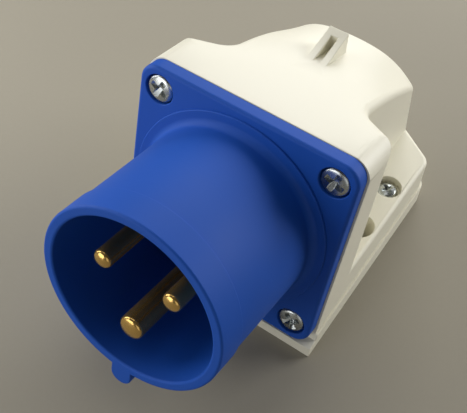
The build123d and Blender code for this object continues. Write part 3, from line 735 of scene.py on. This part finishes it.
class INLET_OT_contacts(bpy.types.Operator):
    """Turn the three brass contacts"""

    bl_idname = "inlet.contacts"
    bl_label = "Contacts"

    def execute(self, context):
        sizes = context.scene.inlet_contacts
        brass = turned_brass()
        to_inlet = inlet_frame().inverted()
        for pole in ("line", "neutral", "earth"):
            mount = mounts[f"{pole}_contact"]
            radius = mount["dims"]["r_mm"] * MM
            seat = radius + sizes.seat_extra
            pillar = radius + sizes.pillar_extra
            ring = pillar + sizes.ring_extra
            profile = pin_tip(sizes, radius)
            profile += [(radius, sizes.seat_taper), (seat, 0), (seat, -sizes.shoulder)]
            profile += [(pillar, -sizes.shoulder), (pillar, -sizes.ring_top)]
            profile += [(ring, -sizes.ring_top), (ring, -sizes.ring_back), (pillar, -sizes.ring_back)]
            profile += [(pillar, -sizes.pillar_back), (0, -sizes.pillar_back)]
            pin = turned(f"{pole}_contact", profile, PIN_FACETS)
            behind = (0, 0, -2 * sizes.pillar_back)
            wire_end = (0, 0, sizes.wire_depth - sizes.pillar_back)
            combine(pin, rod("wire", sizes.wire_hole, behind, wire_end, HOLE_FACETS), "DIFFERENCE")
            clamp = sizes.clamp_inset - sizes.pillar_back
            inside, above = (0, 0, clamp), (0, ring * 2, clamp)
            combine(pin, rod("clamp", sizes.clamp_hole, inside, above, SMALL_HOLE_FACETS), "DIFFERENCE")
            flat = block(
                "flat",
                (4 * pillar, 2 * pillar, 2 * sizes.clamp_inset),
                (0, 2 * pillar - sizes.clamp_flat, clamp),
            )
            combine(pin, flat, "DIFFERENCE")
            spot = to_inlet @ Vector(mount["pos_m"])
            place(pin, inlet_frame() @ Matrix.Translation((spot.x, spot.y, 0)))
            finish_piece(pin, [f"{pole}_pin"], brass)
        return {"FINISHED"}


def cross_screw(name, head, head_height, dome, shank, reach):
    """Pan-head screw with a cross recess, its head's seat at the origin."""
    profile = [(0, head_height), (head * CROWN_START, head_height - CROWN_RISE * CROWN_FALL)]
    profile += [(head - dome * DOME_START, head_height - CROWN_RISE)]
    profile += arc((head - dome, head_height - CROWN_RISE - dome), dome, DOME_ANGLE, 0, DOME_STEPS)[1:]
    profile += [(head, 0), (shank, 0), (shank, -reach), (0, -reach)]
    screw = turned(name, profile, SCREW_FACETS)
    # Each arm of the recess slopes down from its ends to the middle
    arm_size = (2 * RECESS_REACH * head, RECESS_WIDTH * head, 2 * RECESS_DEPTH * head)
    for turn in (0, 90):
        arm = block("arm", arm_size, (0, 0, head_height))
        choose("FACE", looks_down)
        bpy.ops.transform.resize(value=(RECESS_ROOT, RECESS_ROOT_WIDTH, 1))
        choose("FACE", looks_up)
        bpy.ops.transform.resize(value=(2 - RECESS_ROOT, 2 - RECESS_ROOT_WIDTH, 1))
        bpy.ops.object.mode_set(mode="OBJECT")
        arm.rotation_euler.z = radians(turn)
        combine(screw, arm, "DIFFERENCE")
    return screw


def screw_set(name, screw, matrices):
    """Copy one screw to each place, each copy with its own mesh, and join them; the model is used up."""
    copies = []
    for matrix in matrices:
        copy = bpy.data.objects.new(name, screw.data.copy())
        bpy.context.collection.objects.link(copy)
        place(copy, matrix)
        copies.append(copy)
    discard(screw)
    start_piece()
    for copy in copies:
        copy.select_set(True)
    bpy.context.view_layer.objects.active = copies[0]
    bpy.ops.object.join()
    return named(name)


class INLET_OT_screws(bpy.types.Operator):
    """Model the four flange screws and the two hood screws"""

    bl_idname = "inlet.screws"
    bl_label = "Screws"

    def execute(self, context):
        sizes = context.scene.inlet_screws
        moulding = context.scene.inlet_moulding
        zinc = zinc_plate()
        screw = cross_screw(
            "flange_screw",
            sizes.flange_head,
            sizes.flange_head_height,
            sizes.flange_dome,
            sizes.flange_shank,
            sizes.flange_reach,
        )
        matrices = [
            inlet_frame()
            @ Matrix.Translation((x, y, -moulding.pocket_depth))
            @ Matrix.Rotation(radians(turn), 4, "Z")
            for (x, y), turn in zip(screw_places(), FLANGE_SCREW_TURNS)
        ]
        flange_set = screw_set("flange_screw_set", screw, matrices)
        finish_piece(flange_set, ["flange_screws"], zinc)

        seat = hood_screw_high.z - sizes.hood_head_height
        screw = cross_screw(
            "hood_screw",
            sizes.hood_head,
            sizes.hood_head_height,
            sizes.hood_dome,
            sizes.hood_shank,
            seat - hood_screw_low.z,
        )
        across = hood_screw_high.x - sizes.hood_head
        along = (hood_screw_low.y + hood_screw_high.y) / 2
        matrices = [
            Matrix.Translation((side * across, along, seat)) @ Matrix.Rotation(radians(turn), 4, "Z")
            for side, turn in HOOD_SCREW_TURNS
        ]
        hood_set = screw_set("hood_screw_set", screw, matrices)
        finish_piece(hood_set, ["hood_screws"], zinc)
        return {"FINISHED"}


def from_solid(name, node):
    """A merged copy of a solid's mesh, with its flat faces whole."""
    piece = bpy.data.objects.new(name, frame["nodes"][node].data.copy())
    piece.data.name = name
    bpy.context.collection.objects.link(piece)
    activate(piece)
    bpy.ops.object.mode_set(mode="EDIT")
    bpy.ops.mesh.select_all(action="SELECT")
    bpy.ops.mesh.customdata_custom_splitnormals_clear()
    bpy.ops.mesh.remove_doubles(threshold=MERGE)
    bpy.ops.mesh.dissolve_limited(angle_limit=FLAT_ANGLE)
    bpy.ops.object.mode_set(mode="OBJECT")
    return piece


def round_front_corners(hood):
    """Take the hood's upper corners down to the flange's; the cut runs out where the roof falls."""
    sizes = bpy.context.scene.inlet_moulding
    finishes = bpy.context.scene.inlet_finishes
    radius = sizes.flange_corner + finishes.corner_margin
    reach = 2 * sizes.flange_side
    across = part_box("hood")[1][0] + finishes.corner_play - radius
    up = sizes.flange_side / 2 + finishes.roof_proud + finishes.corner_play - radius
    for side in (-1, 1):
        cutter = block(
            "corner",
            (2 * radius, 2 * radius, reach),
            (side * (across + radius), up + radius, 0),
        )
        front, back = (side * across, up, reach), (side * across, up, -reach)
        combine(cutter, rod("round", radius, front, back, OPENING_FACETS), "DIFFERENCE")
        place(cutter, inlet_frame())
        combine(hood, cutter, "DIFFERENCE")
    # Slivers along the cut's edge go
    sliver = finishes.corner_play / 5
    bpy.ops.object.mode_set(mode="EDIT")
    bpy.ops.mesh.select_all(action="SELECT")
    bpy.ops.mesh.remove_doubles(threshold=sliver)
    bpy.ops.mesh.dissolve_degenerate(threshold=sliver)
    bpy.ops.mesh.normals_make_consistent(inside=False)
    bpy.ops.object.mode_set(mode="OBJECT")


class INLET_OT_box(bpy.types.Operator):
    """Finish the cream hood and base plate from their solids, with soft edges"""

    bl_idname = "inlet.box"
    bl_label = "Hood and base"

    def execute(self, context):
        cream = cream_housing()
        for name, node in (("hood_shell", "hood"), ("base_tray", "base_plate")):
            piece = from_solid(name, node)
            soften = piece.modifiers.new("Soft edges", "BEVEL")
            soften.width = context.scene.inlet_finishes.edge_round
            soften.segments = 2
            soften.limit_method = "ANGLE"
            soften.angle_limit = SOFT_EDGE_ANGLE
            soften.use_clamp_overlap = False
            bpy.ops.object.modifier_apply(modifier=soften.name)
            if node == "hood":
                round_front_corners(piece)
            finish_piece(piece, [node], cream)
        return {"FINISHED"}


class INLET_OT_grommet(bpy.types.Operator):
    """Turn the closed rubber grommet with its cutting rings"""

    bl_idname = "inlet.grommet"
    bl_label = "Cable grommet"

    def execute(self, context):
        sizes = context.scene.inlet_grommet
        mount = mounts["cable_entry"]
        top = sizes.proud
        profile = [(0, top)]
        rings = int((sizes.bore - sizes.ring_pitch) / sizes.ring_pitch)
        for ring in range(1, rings + 1):
            radius = ring * sizes.ring_pitch
            half = sizes.ring_depth / 2
            profile += [(radius - half, top), (radius, top - sizes.ring_depth), (radius + half, top)]
        edge_centre = (sizes.flange - sizes.edge, top - sizes.edge)
        profile += arc(edge_centre, sizes.edge, 90, 0, GROMMET_EDGE_STEPS)
        lip = sizes.waist + ENTRY_PLAY + sizes.lip
        inside = -sizes.wall - sizes.lip
        profile += [(sizes.flange, 0), (sizes.waist, 0), (sizes.waist, -sizes.wall)]
        profile += [(lip, -sizes.wall), (lip, inside)]
        profile += [(sizes.bore, inside), (sizes.bore, top - sizes.membrane), (0, top - sizes.membrane)]
        piece = turned("cable_grommet", profile, GROMMET_FACETS)
        place(piece, frame_at(Vector(mount["pos_m"]), mount["axis"]))
        base = context.scene.inlet_finishes.grommet
        rubber = soft_matt("grommet_rubber", base, rough=0.7, grain_size=0.5)
        finish_piece(piece, ["entry_grommet"], rubber)
        return {"FINISHED"}


class INLET_OT_inner_pieces(bpy.types.Operator):
    """Give the insulators, seals and inner screws their materials"""

    bl_idname = "inlet.inner_pieces"
    bl_label = "Inner pieces"

    def execute(self, context):
        finishes = context.scene.inlet_finishes
        insulator = soft_matt("filled_insulator", finishes.insulator, rough=0.55, grain_size=0.6)
        foam = soft_matt("gasket_foam", finishes.gasket, rough=0.85, grain_size=0.5)
        seal = soft_matt("seal_rubber", finishes.seal, rough=0.75, grain_size=0.5)
        zinc = bpy.data.materials["zinc_plated_steel"]
        for node, material in (
            ("contact_carrier", insulator),
            ("pin_retainer", insulator),
            ("flange_gasket", foam),
            ("hood_seal", seal),
            ("carrier_screws", zinc),
            ("terminal_screws", zinc),
        ):
            for material_slot in frame["nodes"][node].material_slots:
                material_slot.material = material
        return {"FINISHED"}


class INLET_OT_stage(bpy.types.Operator):
    """Set up the floor, the soft light and the camera"""

    bl_idname = "inlet.stage"
    bl_label = "Stage"

    def execute(self, context):
        scene = context.scene
        start_piece()
        bpy.ops.mesh.primitive_plane_add(size=FLOOR_SIDE)
        floor = named("floor")
        base = scene.inlet_finishes.floor
        board = soft_matt("floor_board", base, rough=0.8, grain_size=1.5, spread=0.03)
        floor.data.materials.append(board)
        scene.world = bpy.data.worlds.new("studio")
        scene.world.use_nodes = True
        background = scene.world.node_tree.nodes["Background"]
        background.inputs["Color"].default_value = linear(SKY_COLOUR)
        background.inputs["Strength"].default_value = SKY_STRENGTH
        for name, spot, side, power in LAMPS:
            lamp = bpy.data.lights.new(name, "AREA")
            lamp.size = side
            lamp.energy = power
            light = bpy.data.objects.new(name, lamp)
            light.location = spot
            light.rotation_euler = (LAMP_AIM - Vector(spot)).to_track_quat("-Z", "Y").to_euler()
            scene.collection.objects.link(light)
        lens = bpy.data.cameras.new("photo_view")
        lens.sensor_fit = "HORIZONTAL"
        lens.sensor_width = CAMERA_SENSOR
        lens.lens = CAMERA_LENS
        camera = bpy.data.objects.new("photo_view", lens)
        camera.location = CAMERA_PLACE
        camera.rotation_euler = CAMERA_TURN
        scene.collection.objects.link(camera)
        scene.camera = camera
        scene.view_settings.view_transform = "Standard"
        return {"FINISHED"}


class INLET_PT_panel(bpy.types.Panel):
    """Lists the inlet's pieces and sizes in the sidebar"""

    bl_label = "Appliance inlet"
    bl_idname = "INLET_PT_panel"
    bl_space_type = "VIEW_3D"
    bl_region_type = "UI"
    bl_category = "Inlet"

    def draw(self, context):
        for operator in OPERATORS:
            self.layout.operator(operator.bl_idname)
        for group in GROUPS:
            box = self.layout.box()
            values = getattr(context.scene, group)
            for name in values.bl_rna.properties.keys():
                if name not in {"rna_type", "name"}:
                    box.prop(values, name)


GROUPS = {
    "inlet_moulding": MouldingSizes,
    "inlet_screws": ScrewSizes,
    "inlet_contacts": ContactSizes,
    "inlet_grommet": GrommetSizes,
    "inlet_finishes": Finishes,
}
OPERATORS = [
    INLET_OT_moulding,
    INLET_OT_contacts,
    INLET_OT_screws,
    INLET_OT_box,
    INLET_OT_grommet,
    INLET_OT_inner_pieces,
    INLET_OT_stage,
]


def register():
    """Make the sizes, the operators and the panel known to Blender."""
    for group, kind in GROUPS.items():
        bpy.utils.register_class(kind)
        setattr(bpy.types.Scene, group, bpy.props.PointerProperty(type=kind))
    for kind in OPERATORS + [INLET_PT_panel]:
        bpy.utils.register_class(kind)


def unregister():
    """Take them away again."""
    for kind in reversed(OPERATORS + [INLET_PT_panel]):
        bpy.utils.unregister_class(kind)
    for group, kind in GROUPS.items():
        delattr(bpy.types.Scene, group)
        bpy.utils.unregister_class(kind)


def main():
    """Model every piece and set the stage."""
    register()
    bpy.ops.inlet.moulding()
    bpy.ops.inlet.contacts()
    bpy.ops.inlet.screws()
    bpy.ops.inlet.box()
    bpy.ops.inlet.grommet()
    bpy.ops.inlet.inner_pieces()
    bpy.ops.inlet.stage()


if __name__ == "__main__":
    main()
